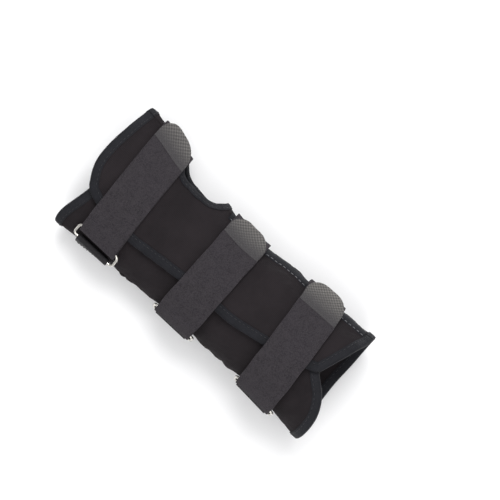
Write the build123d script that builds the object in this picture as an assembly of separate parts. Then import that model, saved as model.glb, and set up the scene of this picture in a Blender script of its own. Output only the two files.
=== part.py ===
"""Wrist splint for a left hand: a wrapped fabric sleeve with a palmar stay and three ring straps.

Frame, in millimetres: +X to the fingers, +Y to the ulnar (little finger) side, +Z to the back of the hand.
The sleeve rests on the flat underside of its stay pocket at z = 0.
"""
from build123d import *
from math import acos, cos, degrees, radians, sin
import os

os.makedirs("parts", exist_ok=True)

# ---------------------------------------------------------------- driving dimensions
INNER_FLOOR = 7.0  # height of the inside of the palm wall above the rest face
FLAT_HALF = 20.0  # half width of the flat palm wall
CORNER_SPAN = 55.0  # part of the angle scale used by each lower quarter curve

# Inside of the sleeve: x, half width, centre y, height above and below the widest line
STATIONS = (
    (-112, 38.5, 1.0, 26.0, 24.0),
    (-64, 35.3, 0.0, 25.0, 23.0),
    (-30, 35.2, 0.6, 23.0, 21.5),
    (0, 34.2, 1.7, 21.0, 19.5),
    (25, 36.3, 0.3, 19.0, 18.5),
    (50, 38.6, -0.8, 17.0, 17.0),
    (66, 40.2, -1.2, 16.3, 16.3),
    (90, 44.3, -3.6, 15.6, 15.6),
    (112, 44.9, -4.3, 15.2, 15.2),
)

PANEL_T = 2.8  # laminated main panel
FLAP_T = 2.4  # dorsal flap
FLAP_LOW = 0.2  # inside of the flap where it lies on the arm
FLAP_HIGH = 3.9  # inside of the flap where it lies on the panel
TAPE_T = 0.5  # binding tape
TAPE_FIT = 0.12  # room between binding tape and fabric
TAPE_WIDTH = 6.0
TAPE_END = 0.85  # how far the fabric stops short of the bound edge
SEAM_ANGLE = 160.0  # joint of flap and panel on the radial side
HIDDEN_ANGLE = 463.0  # panel edge hidden under the flap

STRAP_W = 29.5
STRAP_T = 1.4
LAYER_GAP = 0.25
STRAP_OVER_FLAP = 6.95
STRAP_ON_PANEL = 3.15
STRAP_OVER_SEAM = 4.1
RETURN_LEVEL = STRAP_OVER_FLAP + STRAP_T + LAYER_GAP
HOOK_TAB_T = 1.6
TAB_FLARE = 3.4  # how far the free end of a hook tab stands off

RING_LENGTH = 35.0
RING_WIDTH = 11.0
RING_WIRE = 1.9
RING_CORNER = 2.5  # bend radius at the wire centre
RING_LEVEL = (STRAP_ON_PANEL + STRAP_T + RETURN_LEVEL) / 2  # height of the ring bars
PIN_FIT = 0.07
KEEPER_W = 26.0
KEEPER_PLY = 1.2

STAY_LENGTH = 176.0
STAY_WIDTH = 28.0
STAY_T = 1.8
STAY_X = -96.0  # elbow end of the stay
POCKET_X = (-99.0, 84.0)
POCKET_HALF = 16.2
POCKET_WALL = 1.1

THUMB_X = (26.5, 63.5)
THUMB_Z = (9.9, 37.7)
THUMB_CORNER = 12.0

# Strap name, x at the ring, x on the radial side, angle of the inner ring bar,
# angle of the flap edge, height on the radial side, angle at the tab root, angle at the tab end,
# height at the sewn end
STRAPS = (
    ("strap_hand", 70.5, 77.0, 41.0, 62.0, 3.9, 134.0, 164.0, 3.65),
    ("strap_wrist", 0.0, 1.5, 20.0, 63.0, STRAP_OVER_SEAM, 126.0, 158.0, STRAP_ON_PANEL),
    ("strap_forearm", -70.5, -62.0, 20.0, 79.0, STRAP_OVER_SEAM, 126.0, 158.0, STRAP_ON_PANEL),
)


# ---------------------------------------------------------------- curves and surfaces
def smooth_curve(rows, x, column=1):
    """Value at x of a smooth curve through rows of (x, value, ...)."""
    last = len(rows) - 1

    def slope(i):
        low, high = rows[max(i - 1, 0)], rows[min(i + 1, last)]
        return (high[column] - low[column]) / (high[0] - low[0])

    if x <= rows[0][0]:
        return rows[0][column] + slope(0) * (x - rows[0][0])
    if x >= rows[last][0]:
        return rows[last][column] + slope(last) * (x - rows[last][0])
    i = max(k for k in range(last) if rows[k][0] <= x)
    step = rows[i + 1][0] - rows[i][0]
    t = (x - rows[i][0]) / step
    start = (1 + 2 * t) * (1 - t) ** 2 * rows[i][column] + t * (1 - t) ** 2 * step * slope(i)
    end = t * t * (3 - 2 * t) * rows[i + 1][column] - t * t * (1 - t) * step * slope(i + 1)
    return start + end


def ease(value, low, high):
    """0 at low, 1 at high, smooth between them; low may be the larger."""
    t = min(max((value - low) / (high - low), 0.0), 1.0)
    return t * t * (3 - 2 * t)


def sleeve_point(x, angle, height):
    """Point above the inside of the sleeve: angle 0 ulnar, 90 back of hand, 180 radial, 270 palm."""
    half, centre, upper, lower = (smooth_curve(STATIONS, x, column) for column in (1, 2, 3, 4))
    middle = INNER_FLOOR + lower
    angle = angle % 360
    if angle <= 180:
        turn = radians(angle)
        return Vector(x, centre + (half + height) * cos(turn), middle + (upper + height) * sin(turn))
    if angle < 180 + CORNER_SPAN:
        turn = radians((angle - 180) / CORNER_SPAN * 90)
        y = -FLAT_HALF - (half - centre - FLAT_HALF + height) * cos(turn)
        return Vector(x, y, middle - (lower + height) * sin(turn))
    if angle <= 360 - CORNER_SPAN:
        share = (angle - 180 - CORNER_SPAN) / (180 - 2 * CORNER_SPAN)
        return Vector(x, FLAT_HALF * (2 * share - 1), INNER_FLOOR - height)
    turn = radians((360 - angle) / CORNER_SPAN * 90)
    y = FLAT_HALF + (half + centre - FLAT_HALF + height) * cos(turn)
    return Vector(x, y, middle - (lower + height) * sin(turn))


def outward(x, angle, height):
    """Outward normal of the sleeve."""
    along = sleeve_point(x + 1, angle, height) - sleeve_point(x - 1, angle, height)
    around = sleeve_point(x, angle + 0.5, height) - sleeve_point(x, angle - 0.5, height)
    return around.cross(along).normalized()


def angle_step(x, angle, height, length):
    """Change of angle which moves a point by this length round the sleeve."""
    span = sleeve_point(x, angle + 1, height) - sleeve_point(x, angle - 1, height)
    return 2 * length / span.length


def slab(point, u_count, v_count):
    """Closed solid between the surfaces w = 0 and w = 1 of point(u, v, w)."""
    stations = [j / (v_count - 1) for j in range(v_count)]
    skins = []
    for w in (0, 1):
        wires = []
        for i in range(u_count):
            points = [point(i / (u_count - 1), v, w) for v in stations]
            wires.append(Wire([Edge.make_spline(points, parameters=stations)]))
        skins.append(Shell.make_loft(wires).faces()[0])
    inner, outer = skins
    faces = [inner, outer]
    for edge in inner.edges():
        partner = min(outer.edges(), key=lambda other: (other @ 0.5 - edge @ 0.5).length)
        faces.append(Face.make_surface_from_curves(edge, partner))
    return Solid(Shell(faces))


def biggest(shape):
    """The largest solid of a shape."""
    return max(shape.solids(), key=lambda solid: solid.volume)


def save(shape, name):
    """Write one named piece."""
    shape.label = name
    export_step(shape, f"parts/{name}.step")


# ---------------------------------------------------------------- main panel
PANEL_FINGER_EDGE = (
    (160, 105.5), (180, 104.5), (235, 99.5), (270, 97), (305, 98),
    (360, 102), (392, 103), (427, 98.5), (463, 94),
)
PANEL_ELBOW_EDGE = (
    (160, -103), (180, -104), (235, -106), (270, -106), (305, -107.5), (360, -110),
    (386, -111), (410, -110), (424, -107), (437, -101), (449, -91), (463, -80),
)


def panel_point(x_inset, angle, height, finger_side):
    """Point of the panel a given length in from its finger or elbow edge."""
    if finger_side:
        return sleeve_point(smooth_curve(PANEL_FINGER_EDGE, angle) - x_inset, angle, height)
    return sleeve_point(smooth_curve(PANEL_ELBOW_EDGE, angle) + x_inset, angle, height)


def panel_slab(u, v, w):
    angle = SEAM_ANGLE + 0.6 + v * (HIDDEN_ANGLE - SEAM_ANGLE - 0.6)
    low = smooth_curve(PANEL_ELBOW_EDGE, angle) + TAPE_END
    high = smooth_curve(PANEL_FINGER_EDGE, angle) - TAPE_END
    return sleeve_point(low + u * (high - low), angle, w * PANEL_T)


def panel_tape(finger_side):
    """Binding tape along the finger or the elbow edge of the panel."""

    def tape(u, v, w):
        angle = SEAM_ANGLE + 0.6 + v * (HIDDEN_ANGLE - SEAM_ANGLE - 0.6)
        height = -TAPE_T + w * (PANEL_T + 2 * TAPE_T)
        return panel_point(u * TAPE_WIDTH, angle, height, finger_side)

    def core(u, v, w):
        angle = SEAM_ANGLE - 1 + v * (HIDDEN_ANGLE - SEAM_ANGLE + 2)
        height = -TAPE_FIT + w * (PANEL_T + 2 * TAPE_FIT)
        return panel_point(TAPE_END - TAPE_FIT + u * TAPE_WIDTH, angle, height, finger_side)

    return biggest(slab(tape, 5, 100) - slab(core, 5, 100))


# ---------------------------------------------------------------- dorsal flap
# Free edge: x and y; finger and elbow edges: share of the way from seam to free edge, and x
FLAP_FREE_EDGE = (
    (-92, 0.5), (-79, 5.8), (-43, 13.9), (-27, 16.4), (24, 18.8), (59, 22.3), (84, 19.5), (99, 13.7),
)
FLAP_FINGER_EDGE = ((0, 105.2), (0.38, 106.7), (0.67, 108.1), (0.86, 106.2), (1, 98.5))
FLAP_ELBOW_EDGE = ((0, -103), (0.2, -102.3), (0.6, -97.5), (0.85, -93), (1, -90))


def flap_height(angle):
    """Inside height of the flap: on the arm at the seam, on the panel near the free edge."""
    return FLAP_LOW + (FLAP_HIGH - FLAP_LOW) * ease(angle, 150, 122)


def free_edge_angle(x):
    """Angle of the free edge of the flap at x."""
    half = smooth_curve(STATIONS, x, 1) + FLAP_HIGH + FLAP_T
    return degrees(acos((smooth_curve(FLAP_FREE_EDGE, x) - smooth_curve(STATIONS, x, 2)) / half))


def flap_x(u, v, inset=0.0):
    """x of a flap point, u from elbow edge to finger edge, v from seam to free edge."""
    low = smooth_curve(FLAP_ELBOW_EDGE, v) + inset
    high = smooth_curve(FLAP_FINGER_EDGE, v) - inset
    return low + u * (high - low)


def flap_place(x, v, height):
    """Point of the flap at x, v, and a height above its inside face."""
    angle = SEAM_ANGLE + v * (free_edge_angle(x) - SEAM_ANGLE)
    return sleeve_point(x, angle, flap_height(angle) + height)


def flap_slab(u, v, w):
    share = v * 0.985
    return flap_place(flap_x(u, share, TAPE_END), share, w * FLAP_T)


def flap_end_tape(finger_side):
    """Binding tape along the finger or the elbow edge of the flap."""

    def at(inset, v, height):
        edge = FLAP_FINGER_EDGE if finger_side else FLAP_ELBOW_EDGE
        x = smooth_curve(edge, v) + (-inset if finger_side else inset)
        return flap_place(x, v, height)

    def tape(u, v, w):
        return at(u * TAPE_WIDTH, v, -TAPE_T + w * (FLAP_T + 2 * TAPE_T))

    def core(u, v, w):
        height = -TAPE_FIT + w * (FLAP_T + 2 * TAPE_FIT)
        return at(TAPE_END - TAPE_FIT + u * TAPE_WIDTH, -0.01 + 1.004 * v, height)

    return biggest(slab(tape, 5, 40) - slab(core, 5, 40))


def flap_free_tape():
    """Binding tape along the free edge of the flap, between the two end tapes."""

    def at(x, inset, height):
        edge = free_edge_angle(x)
        angle = edge + angle_step(x, edge, FLAP_HIGH, inset)
        return sleeve_point(x, angle, flap_height(angle) + height)

    def tape(u, v, w):
        low, high = flap_x(0, 1, TAPE_WIDTH + 0.3), flap_x(1, 1, TAPE_WIDTH + 0.3)
        x = low + v * (high - low)
        return at(x, u * TAPE_WIDTH, -TAPE_T + w * (FLAP_T + 2 * TAPE_T))

    def core(u, v, w):
        x = flap_x(0, 1) + v * (flap_x(1, 1) - flap_x(0, 1))
        height = -TAPE_FIT + w * (FLAP_T + 2 * TAPE_FIT)
        return at(x, 0.4 + u * TAPE_WIDTH, height)

    return biggest(slab(tape, 4, 40) - slab(core, 4, 40))


# ---------------------------------------------------------------- thumb opening
def thumb_prism(grow):
    """Rounded block through the radial side, larger than the thumb opening by grow."""
    width = THUMB_X[1] - THUMB_X[0] + 2 * grow
    height = THUMB_Z[1] - THUMB_Z[0] + 2 * grow
    centre = ((THUMB_X[0] + THUMB_X[1]) / 2, -70, (THUMB_Z[0] + THUMB_Z[1]) / 2)
    outline = RectangleRounded(width, height, THUMB_CORNER + grow)
    return extrude(Plane(origin=centre, x_dir=(1, 0, 0), z_dir=(0, 1, 0)) * outline, 55)


def thumb_skin(low, high):
    """Curved slab round the thumb opening, covering flap and panel."""

    def point(u, v, w):
        angle = 118 + v * 115
        rise = flap_height(angle) - FLAP_LOW if angle < 150 else 0
        return sleeve_point(16 + u * 58, angle, rise + low + w * (high - low))

    return slab(point, 14, 50)


def thumb_tape():
    """Binding tape of U section round the thumb opening."""
    band = thumb_skin(-TAPE_T, PANEL_T + TAPE_T) & (thumb_prism(5.0) - thumb_prism(0))
    core = thumb_skin(-TAPE_FIT, PANEL_T + TAPE_FIT) - thumb_prism(TAPE_END - TAPE_FIT)
    return biggest(band - core)


# ---------------------------------------------------------------- straps
def strap_x(spec, u, angle):
    """x across a strap; it runs slightly askew from ring to radial side."""
    share = 1.0 if angle >= 180 else (1 - cos(radians(angle))) / 2
    return spec[1] + share * (spec[2] - spec[1]) + (u - 0.5) * STRAP_W


def base_height(spec, angle):
    """Inside height of the sewn strap layer."""
    _, _, _, ring_angle, flap_angle, radial_height, _, _, sewn_height = spec
    if angle < 110:
        rise = STRAP_OVER_FLAP - STRAP_ON_PANEL
        return STRAP_ON_PANEL + rise * ease(angle, ring_angle + 3, flap_angle - 2)
    if angle < 185:
        return STRAP_OVER_FLAP + (radial_height - STRAP_OVER_FLAP) * ease(angle, 118, 152)
    return radial_height + (sewn_height - radial_height) * ease(angle, 187, 216)


def return_height(spec, angle):
    """Inside height of the strap layer that comes back from the ring."""
    if angle < 110:
        return RETURN_LEVEL
    return base_height(spec, angle) + STRAP_T + LAYER_GAP


def ring_frame(spec):
    """Centres of the inner and outer ring bars and the direction along the arm."""
    x, inner_angle = spec[1], spec[3]
    inner = sleeve_point(x, inner_angle, RING_LEVEL)
    span = RING_WIDTH - RING_WIRE
    outer_angle = inner_angle
    while (sleeve_point(x, outer_angle, RING_LEVEL) - inner).length < span:
        outer_angle -= 0.05
    outer = sleeve_point(x, outer_angle, RING_LEVEL)
    across = (outer - inner).normalized()
    along = sleeve_point(x + 10, inner_angle, RING_LEVEL) - sleeve_point(x - 10, inner_angle, RING_LEVEL)
    along = (along - across * along.dot(across)).normalized()
    return inner, outer, along, outer_angle


def bar_plane(centre, along, up):
    """Plane square to a ring bar, its x towards up, half a strap back from the centre."""
    up = (up - along * up.dot(along)).normalized()
    return Plane(origin=centre, x_dir=up, z_dir=along)


def fold_plane(spec):
    """Plane square to the inner bar, and the sign of its y towards the outer bar."""
    inner, outer, along, _ = ring_frame(spec)
    up = outward(spec[1], spec[3], RING_LEVEL)
    plane = bar_plane(inner - along * (STRAP_W / 2), along, up)
    return plane, 1 if plane.to_local_coords(outer).Y > 0 else -1


def make_base(spec):
    """Sewn strap layer with the fold round the inner ring bar."""

    def point(u, v, w):
        angle = spec[3] + v * (230 - spec[3])
        return sleeve_point(strap_x(spec, u, angle), angle, base_height(spec, angle) + w * STRAP_T)

    plane, side = fold_plane(spec)
    inside = RING_LEVEL - STRAP_ON_PANEL - STRAP_T
    ring_section = Circle(inside + STRAP_T) - Circle(inside)
    half = Pos(0, side * 10) * Rectangle(40, 20)
    leg = Pos(-inside - STRAP_T / 2, -side * 1.0) * Rectangle(STRAP_T, 2.2)
    fold = extrude(plane * ((ring_section & half) + leg), STRAP_W)
    return biggest(slab(point, 4, 90) + fold)


def make_return(spec):
    """Strap layer from the fold to the root of the hook tab."""
    start = spec[3] + angle_step(spec[1], spec[3], RING_LEVEL, 0.35)

    def point(u, v, w):
        angle = start + v * (spec[6] - start)
        return sleeve_point(strap_x(spec, u, angle), angle, return_height(spec, angle) + w * STRAP_T)

    plane, side = fold_plane(spec)
    fold_room = Pos(0, side * 9.8, -5) * Rectangle(40, 20)
    return biggest(slab(point, 4, 90) - extrude(plane * fold_room, STRAP_W + 10))


def make_tab(spec):
    """Hook tab with rounded end corners, its free end standing off a little."""
    start = spec[6] + angle_step(spec[2], spec[6], RETURN_LEVEL, 0.2)

    def point(u, v, w):
        angle = start + v * (spec[7] - start)
        height = return_height(spec, angle) + TAB_FLARE * v * v + w * HOOK_TAB_T
        return sleeve_point(strap_x(spec, u, angle), angle, height)

    middle = (start + spec[7]) / 2
    level = return_height(spec, middle)
    centre = sleeve_point(strap_x(spec, 0.5, middle), middle, level)
    root = sleeve_point(strap_x(spec, 0.5, start), start, level)
    end = sleeve_point(strap_x(spec, 0.5, spec[7]), spec[7], level + TAB_FLARE)
    up = outward(spec[2], middle, level)
    away = (end - root) - up * (end - root).dot(up)
    length = away.length
    away = away.normalized()
    plane = Plane(origin=centre + away * ((end - centre).dot(away)), x_dir=away, z_dir=up)
    outline = Pos(-length / 2 - 5, 0) * Rectangle(length + 10, STRAP_W + 6)
    corners = [vertex for vertex in outline.vertices() if vertex.X > -1]
    outline = fillet(corners, 11)
    prism = extrude(plane * outline, 30, both=True)
    return biggest(slab(point, 4, 14) & prism)


def make_ring(spec):
    """Rectangular wire ring."""
    inner, outer, along, _ = ring_frame(spec)
    across = (outer - inner).normalized()
    plane = Plane(origin=(inner + outer) * 0.5, x_dir=along, z_dir=along.cross(across))
    path = plane * RectangleRounded(RING_LENGTH - RING_WIRE, RING_WIDTH - RING_WIRE, RING_CORNER)
    wire = path.faces()[0].outer_wire()
    section = Plane(origin=wire @ 0, z_dir=wire % 0) * Circle(RING_WIRE / 2)
    return sweep(section, path=wire)


def make_keeper(spec):
    """Two-ply loop round the outer ring bar, sewn to the panel."""
    inner, outer, along, outer_angle = ring_frame(spec)
    x = spec[1]

    def point(u, v, w):
        top = outer_angle + angle_step(x, outer_angle, RING_LEVEL, 1.6)
        bottom = outer_angle - angle_step(x, outer_angle - 12, 4, 16)
        angle = top + v * (bottom - top)
        return sleeve_point(x + (u - 0.5) * KEEPER_W, angle % 360, STRAP_ON_PANEL + w * 2 * KEEPER_PLY)

    up = outward(x, outer_angle, RING_LEVEL)
    plane = bar_plane(outer - along * (KEEPER_W / 2), along, up)
    hole = RING_WIRE / 2 + PIN_FIT
    tube = extrude(plane * Circle(hole + KEEPER_PLY), KEEPER_W)
    bore = extrude(plane * Circle(hole), KEEPER_W + 2, both=True)
    return biggest((slab(point, 4, 16) + tube) - bore)


# ---------------------------------------------------------------- seam, pocket and stay
def make_seam():
    """Raised tape over the joint of flap and panel along the forearm."""

    def point(u, v, w):
        bulge = 0.3 * w * sin(radians(180 * v))
        return sleeve_point(-96.5 + u * 116, 153 + v * 14, 2.95 + w * 0.6 + bulge)

    return slab(point, 16, 5)


def make_pocket():
    """Stay pocket: flat underside, two side walls with sewn flanges, closed finger end."""
    top = INNER_FLOOR - PANEL_T - LAYER_GAP
    length = POCKET_X[1] - POCKET_X[0]
    middle = (POCKET_X[0] + POCKET_X[1]) / 2

    def block(x, width_x, y, width_y, low, high):
        return Pos(x, y, (low + high) / 2) * Box(width_x, width_y, high - low)

    cover = block(middle, length, 0, 2 * POCKET_HALF, 0, POCKET_WALL)
    for side in (-1, 1):
        wall_y = side * (POCKET_HALF - POCKET_WALL / 2)
        cover += block(middle, length, wall_y, POCKET_WALL, 0, top)
        cover += block(middle, length, side * (POCKET_HALF + 1.2), 4.4, top - 0.9, top)
    cover += block(POCKET_X[1] - POCKET_WALL / 2, POCKET_WALL, 0, 2 * POCKET_HALF, 0, top)
    return cover


def make_stay():
    """Flat palmar stay with rounded ends."""
    low = POCKET_WALL + 0.25
    outline = RectangleRounded(STAY_LENGTH, STAY_WIDTH, 12)
    bar = extrude(Plane(origin=(STAY_X + STAY_LENGTH / 2, 0, low)) * outline, STAY_T)
    rims = bar.faces().filter_by(Axis.Z)
    return fillet(rims.edges(), 0.5)


# ---------------------------------------------------------------- build
hole = thumb_prism(TAPE_END)
save(biggest(slab(panel_slab, 30, 100) - hole), "main_panel")
save(biggest(slab(flap_slab, 30, 40) - hole), "dorsal_flap")
save(panel_tape(True), "binding_panel_finger_end")
save(panel_tape(False), "binding_panel_elbow_end")
save(flap_end_tape(True), "binding_flap_finger_end")
save(flap_end_tape(False), "binding_flap_elbow_end")
save(flap_free_tape(), "binding_flap_free_edge")
save(thumb_tape(), "binding_thumb_opening")
save(make_seam(), "radial_seam_tape")
save(make_pocket(), "stay_pocket")
save(make_stay(), "palmar_stay")
for strap in STRAPS:
    save(make_base(strap), f"{strap[0]}_base")
    save(make_return(strap), f"{strap[0]}_return")
    save(make_tab(strap), f"{strap[0]}_hook_tab")
    save(make_ring(strap), f"{strap[0]}_ring")
    save(make_keeper(strap), f"{strap[0]}_keeper")
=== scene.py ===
import math
from collections import namedtuple

import bmesh
import bpy
import numpy as np
from mathutils import Matrix, Vector


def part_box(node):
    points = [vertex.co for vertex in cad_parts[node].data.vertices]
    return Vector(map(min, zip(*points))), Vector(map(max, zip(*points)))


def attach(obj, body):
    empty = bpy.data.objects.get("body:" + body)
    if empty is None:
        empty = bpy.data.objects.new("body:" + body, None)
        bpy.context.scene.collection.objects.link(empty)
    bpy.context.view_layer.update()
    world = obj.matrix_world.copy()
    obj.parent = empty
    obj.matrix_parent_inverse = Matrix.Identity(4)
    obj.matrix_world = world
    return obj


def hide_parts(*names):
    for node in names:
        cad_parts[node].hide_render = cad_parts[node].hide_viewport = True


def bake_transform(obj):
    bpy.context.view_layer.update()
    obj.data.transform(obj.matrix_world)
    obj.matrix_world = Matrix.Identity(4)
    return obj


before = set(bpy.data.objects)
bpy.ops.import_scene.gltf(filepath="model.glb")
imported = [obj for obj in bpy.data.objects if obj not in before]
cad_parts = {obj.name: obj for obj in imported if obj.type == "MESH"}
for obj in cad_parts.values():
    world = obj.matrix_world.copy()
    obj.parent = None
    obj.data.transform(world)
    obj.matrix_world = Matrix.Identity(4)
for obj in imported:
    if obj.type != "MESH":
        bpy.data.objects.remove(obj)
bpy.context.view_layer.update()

MM = 0.001

# ---------------------------------------------------------------- the sleeve's surface, in mm
INNER_FLOOR = 7.0
FLAT_HALF = 20.0
CORNER_SPAN = 55.0
# (x, half width, centre in y, height above and depth below the widest level)
STATIONS = (
    (-112, 38.5, 1.0, 26.0, 24.0),
    (-64, 35.3, 0.0, 25.0, 23.0),
    (-30, 35.2, 0.6, 23.0, 21.5),
    (0, 34.2, 1.7, 21.0, 19.5),
    (25, 36.3, 0.3, 19.0, 18.5),
    (50, 38.6, -0.8, 17.0, 17.0),
    (66, 40.2, -1.2, 16.3, 16.3),
    (90, 44.3, -3.6, 15.6, 15.6),
    (112, 44.9, -4.3, 15.2, 15.2),
)
PANEL_T, FLAP_T, FLAP_LOW, FLAP_HIGH = 2.8, 2.4, 0.2, 3.9
TAPE_T, TAPE_FIT, TAPE_WIDTH, TAPE_END = 0.5, 0.12, 6.0, 0.85
SEAM_ANGLE, HIDDEN_ANGLE = 160.0, 463.0
STRAP_W, STRAP_T, LAYER_GAP = 29.5, 1.4, 0.25
OVER_FLAP, OVER_SEAM, ON_PANEL = 6.95, 4.1, 3.15
TAB_T, TAB_FLARE = 1.6, 3.4
RETURN_LEVEL = OVER_FLAP + STRAP_T + LAYER_GAP
RING_LEVEL = (ON_PANEL + STRAP_T + RETURN_LEVEL) / 2
FOLD_INSIDE = RING_LEVEL - ON_PANEL - STRAP_T
# angles between which a strap comes down off the flap and off the seam, and one before each on the level
OFF_FLAP, OFF_SEAM = (118, 152), (187, 216)
LEVEL_ON_FLAP, LEVEL_ON_SEAM = 110, 185
SEWN_ANGLE = 230
RING_OUTSIDE, RING_WIRE = 11.0, 1.9
RING_SPAN = RING_OUTSIDE - RING_WIRE
KEEPER_W, KEEPER_PLY = 26.0, 1.0
# flap_angle is where the strap is up on the flap, and tab_reach is how far the tab goes past tab_end
Strap = namedtuple(
    "Strap",
    "ring_x radial_x ring_angle flap_angle radial_height tab_root tab_end sewn_height tab_reach ripple",
)
STRAPS = {
    "strap_hand": Strap(70.5, 77.0, 41.0, 62.0, 3.9, 134.0, 164.0, 3.65, 3.0, 0.3),
    "strap_wrist": Strap(0.0, 1.5, 20.0, 63.0, OVER_SEAM, 126.0, 158.0, ON_PANEL, 0.0, 0.18),
    "strap_forearm": Strap(-70.5, -62.0, 20.0, 79.0, OVER_SEAM, 126.0, 158.0, ON_PANEL, 4.5, 0.18),
}
# edges of the panel as (angle, x)
PANEL_FINGER_EDGE = (
    (160, 105.5), (180, 104.5), (235, 99.5), (270, 97), (305, 98),
    (360, 102), (392, 103), (427, 98.5), (463, 94),
)
PANEL_ELBOW_EDGE = (
    (160, -103), (180, -104), (235, -106), (270, -106), (305, -107.5), (360, -110),
    (386, -111), (410, -110), (424, -107), (437, -101), (449, -91), (463, -80),
)
# free edge of the flap as (x, y); its ends as (share of the way from seam to free edge, x)
FLAP_FREE_EDGE = (
    (-92, 0.5), (-79, 5.8), (-43, 13.9), (-27, 16.4), (24, 18.8), (59, 22.3), (84, 19.5), (99, 13.7),
)
FLAP_FINGER_EDGE = ((0, 105.2), (0.38, 106.7), (0.67, 108.1), (0.86, 106.2), (1, 98.5))
FLAP_ELBOW_EDGE = ((0, -103), (0.2, -102.3), (0.6, -97.5), (0.85, -93), (1, -90))
THUMB_X, THUMB_Z, THUMB_CORNER = (26.5, 63.5), (9.9, 37.7), 12.0
THUMB_LEVEL, THUMB_SIDE = 1.3, -14.0
THUMB_COVERED = 1.6
FLAP_CLIMB = (150, 122)
# round length of one degree, for textures and wrinkles only
MM_PER_DEGREE = 0.6


def curve(rows, x, column=1):
    """Smooth curve through rows of (x, value, ...), for an array of x."""
    x = np.asarray(x, float)
    xs = np.array([row[0] for row in rows], float)
    ys = np.array([row[column] for row in rows], float)
    low = np.maximum(np.arange(len(xs)) - 1, 0)
    high = np.minimum(np.arange(len(xs)) + 1, len(xs) - 1)
    slope = (ys[high] - ys[low]) / (xs[high] - xs[low])
    i = np.clip(np.searchsorted(xs, x, "right") - 1, 0, len(xs) - 2)
    step = xs[i + 1] - xs[i]
    t = np.clip((x - xs[i]) / step, 0, 1)
    value = (1 + 2 * t) * (1 - t) ** 2 * ys[i] + t * (1 - t) ** 2 * step * slope[i]
    value = value + t * t * (3 - 2 * t) * ys[i + 1] - t * t * (1 - t) * step * slope[i + 1]
    value = value + np.minimum(x - xs[0], 0) * slope[0]
    return value + np.maximum(x - xs[-1], 0) * slope[-1]


def ease(value, low, high):
    t = np.clip((np.asarray(value, float) - low) / (high - low), 0, 1)
    return t * t * (3 - 2 * t)


def skin(x, angle, height):
    """Points above the inside of the sleeve, in metres."""
    x, angle, height = np.broadcast_arrays(*(np.asarray(a, float) for a in (x, angle, height)))
    half, centre, upper, lower = (curve(STATIONS, x, column) for column in (1, 2, 3, 4))
    middle = INNER_FLOOR + lower
    angle = angle % 360
    turn = np.radians(angle)
    top_y, top_z = centre + (half + height) * np.cos(turn), middle + (upper + height) * np.sin(turn)
    left = np.radians(np.clip((angle - 180) / CORNER_SPAN * 90, 0, 90))
    right = np.radians(np.clip((360 - angle) / CORNER_SPAN * 90, 0, 90))
    left_y = -FLAT_HALF - (half - centre - FLAT_HALF + height) * np.cos(left)
    right_y = FLAT_HALF + (half + centre - FLAT_HALF + height) * np.cos(right)
    share = (angle - 180 - CORNER_SPAN) / (180 - 2 * CORNER_SPAN)
    zones = [angle <= 180, angle < 180 + CORNER_SPAN, angle <= 360 - CORNER_SPAN]
    y = np.select(zones, [top_y, left_y, FLAT_HALF * (2 * share - 1)], right_y)
    low_left = middle - (lower + height) * np.sin(left)
    low_right = middle - (lower + height) * np.sin(right)
    z = np.select(zones, [top_z, low_left, INNER_FLOOR - height], low_right)
    return np.stack([x, y, z], axis=-1) * MM


def per_degree(x, angle, height=3.0):
    """Length in mm of one degree round the sleeve."""
    return np.linalg.norm(skin(x, angle + 0.5, height) - skin(x, angle - 0.5, height), axis=-1) / MM


def waves(x, y, seed, size, count=14, spread=0.5, direction=None):
    """Smooth seeded noise of about unit height; size is the wavelength in mm."""
    rng = np.random.default_rng(seed)
    total = np.zeros(np.broadcast(x, y).shape)
    for _ in range(count):
        length = size * math.exp(rng.uniform(-spread, spread))
        heading = rng.uniform(0, math.pi) if direction is None else rng.normal(direction, 0.45)
        phase = rng.uniform(0, 2 * math.pi)
        total += np.sin((x * math.cos(heading) + y * math.sin(heading)) * 2 * math.pi / length + phase)
    return total / math.sqrt(count)


def strap_mask(x, angle):
    """1 away from the straps, 0 under them."""
    a = np.asarray(angle, float) % 360
    share = np.where(a <= 180, (1 - np.cos(np.radians(a))) / 2, np.clip((360 - a) / 180, 0, 1))
    free = 1.0
    for ring_x, radial_x, *_ in STRAPS.values():
        distance = np.abs(x - (ring_x + share * (radial_x - ring_x)))
        free = free * ease(distance, 15.5, 25)
    return free


def relief(x, angle):
    """Bulge and wrinkles of the fabric between the straps, in mm."""
    a = np.asarray(angle, float) % 360
    away_from_pocket = 1 - ease(a, 214, 232) * (1 - ease(a, 308, 326))
    around = a * MM_PER_DEGREE
    soft = 0.55 + 0.55 * waves(x, around, 3, 34)
    folds = 0.38 * waves(x, around, 7, 13, direction=0.25) * (0.6 + 0.4 * waves(x, around, 9, 45))
    fine = 0.10 * waves(x, around, 12, 6)
    ends = 0.35 + 0.65 * ease(x, -111, -92) * (1 - ease(x, 92, 108))
    return (soft + folds + fine) * strap_mask(x, angle) * away_from_pocket * ends


def flap_rise(angle):
    """How far the flap has climbed above its height at the seam."""
    return (FLAP_HIGH - FLAP_LOW) * ease(angle, *FLAP_CLIMB)


def flap_height(angle):
    return FLAP_LOW + flap_rise(angle)


def free_edge_angle(x):
    """Angle of the flap's free edge at x."""
    half = curve(STATIONS, x, 1) + FLAP_HIGH + FLAP_T
    return np.degrees(np.arccos((curve(FLAP_FREE_EDGE, x) - curve(STATIONS, x, 2)) / half))


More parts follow.
